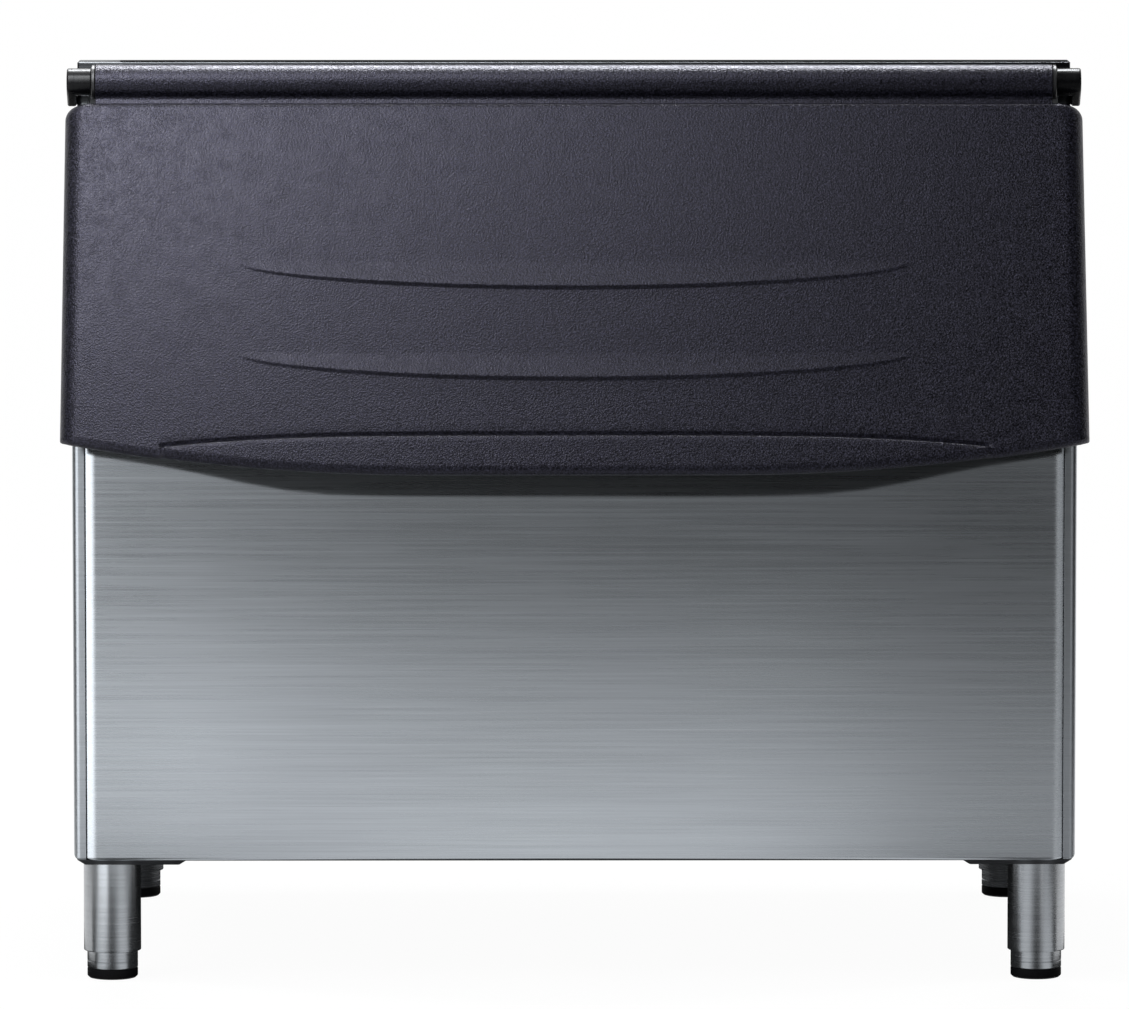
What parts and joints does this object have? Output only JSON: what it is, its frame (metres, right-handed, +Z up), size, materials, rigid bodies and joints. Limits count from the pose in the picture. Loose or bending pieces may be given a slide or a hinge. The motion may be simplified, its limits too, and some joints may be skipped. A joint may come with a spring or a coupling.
{
  "type": "ice storage bin",
  "caption": "Insulated steel ice storage bin on screw feet, with a sloping front, an open top deck and a moulded plastic lid that lifts on side hinges.",
  "frame": {"origin": "on the floor, below the middle of the bounding box", "axes": "+X to the right seen from the front, +Y to the back, +Z up"},
  "size_m": [1.2454, 0.9184, 1.115],
  "materials": {
    "brushed_steel": "satin",
    "plain_steel": "satin",
    "dark_steel": "satin",
    "lid_plastic": "matte",
    "gloss_black": "gloss",
    "liner": "satin",
    "grey_plastic": "matte",
    "nylon": "satin",
    "rubber": "matte",
    "seal": "matte",
    "foam": "matte"
  },
  "bodies": {
    "cabinet": {"front_panel": "brushed_steel", "side_panel_left": "brushed_steel", "side_panel_right": "brushed_steel", "back_panel": "plain_steel", "base_pan": "plain_steel", "top_rail": "brushed_steel", "liner_tub": "liner", "cabinet_foam": "foam", "door_frame": "grey_plastic", "baffle_peg_left": "plain_steel", "baffle_peg_right": "plain_steel", "drain_fitting": "grey_plastic", "drain_gasket": "rubber", "drain_locknut": "grey_plastic", "drain_strainer": "grey_plastic", "hinge_bracket_left": "gloss_black", "hinge_pin_left": "plain_steel", "hinge_screw_left_1": "plain_steel", "hinge_screw_left_2": "plain_steel", "hinge_bracket_right": "gloss_black", "hinge_pin_right": "plain_steel", "hinge_screw_right_1": "plain_steel", "hinge_screw_right_2": "plain_steel", "leg_plate_front_left": "dark_steel", "leg_socket_front_left": "plain_steel", "leg_tube_front_left": "brushed_steel", "leg_plate_front_right": "dark_steel", "leg_socket_front_right": "plain_steel", "leg_tube_front_right": "brushed_steel", "leg_plate_rear_left": "dark_steel", "leg_socket_rear_left": "plain_steel", "leg_tube_rear_left": "brushed_steel", "leg_plate_rear_right": "dark_steel", "leg_socket_rear_right": "plain_steel", "leg_tube_rear_right": "brushed_steel"},
    "lid": {"lid_outer_shell": "lid_plastic", "lid_foam": "foam", "lid_inner_panel": "liner", "lid_gasket": "seal", "hinge_bush_left": "nylon", "hinge_bush_right": "nylon"},
    "baffle": {"ice_baffle": "brushed_steel"},
    "pad_front_left": {"foot_pad_front_left": "rubber"},
    "sleeve_front_left": {"foot_sleeve_front_left": "brushed_steel"},
    "pad_front_right": {"foot_pad_front_right": "rubber"},
    "sleeve_front_right": {"foot_sleeve_front_right": "brushed_steel"},
    "pad_rear_left": {"foot_pad_rear_left": "rubber"},
    "sleeve_rear_left": {"foot_sleeve_rear_left": "brushed_steel"},
    "pad_rear_right": {"foot_pad_rear_right": "rubber"},
    "sleeve_rear_right": {"foot_sleeve_rear_right": "brushed_steel"}
  },
  "joints": [
    {"name": "lid_hinge", "type": "hinge", "parent": "cabinet", "child": "lid", "pos_m": [0, -0.22085, 1.092], "axis": [-1, 0, 0], "range_deg": [0, 160]},
    {"name": "baffle_swing", "type": "hinge", "parent": "cabinet", "child": "baffle", "pos_m": [0, -0.12285, 1.03], "axis": [-1, 0, 0], "range_deg": [-60, 30]},
    {"name": "foot_lower_front_left", "type": "slide", "parent": "cabinet", "child": "pad_front_left", "axis": [0, 0, -1], "range_m": [0, 0.03]},
    {"name": "foot_turn_front_left", "type": "hinge", "parent": "pad_front_left", "child": "sleeve_front_left", "pos_m": [-0.566, -0.32085, 0.06], "axis": [0, 0, -1], "range_deg": [0, 5400]},
    {"name": "foot_lower_front_right", "type": "slide", "parent": "cabinet", "child": "pad_front_right", "axis": [0, 0, -1], "range_m": [0, 0.03]},
    {"name": "foot_turn_front_right", "type": "hinge", "parent": "pad_front_right", "child": "sleeve_front_right", "pos_m": [0.566, -0.32085, 0.06], "axis": [0, 0, -1], "range_deg": [0, 5400]},
    {"name": "foot_lower_rear_left", "type": "slide", "parent": "cabinet", "child": "pad_rear_left", "axis": [0, 0, -1], "range_m": [0, 0.03]},
    {"name": "foot_turn_rear_left", "type": "hinge", "parent": "pad_rear_left", "child": "sleeve_rear_left", "pos_m": [-0.566, 0.39915, 0.06], "axis": [0, 0, -1], "range_deg": [0, 5400]},
    {"name": "foot_lower_rear_right", "type": "slide", "parent": "cabinet", "child": "pad_rear_right", "axis": [0, 0, -1], "range_m": [0, 0.03]},
    {"name": "foot_turn_rear_right", "type": "hinge", "parent": "pad_rear_right", "child": "sleeve_rear_right", "pos_m": [0.566, 0.39915, 0.06], "axis": [0, 0, -1], "range_deg": [0, 5400]}
  ],
  "couplings": [
    {"joint": "foot_lower_front_left", "follows": "foot_turn_front_left", "m_per_rad": 0.00031831},
    {"joint": "foot_lower_front_right", "follows": "foot_turn_front_right", "m_per_rad": 0.00031831},
    {"joint": "foot_lower_rear_left", "follows": "foot_turn_rear_left", "m_per_rad": 0.00031831},
    {"joint": "foot_lower_rear_right", "follows": "foot_turn_rear_right", "m_per_rad": 0.00031831}
  ]
}
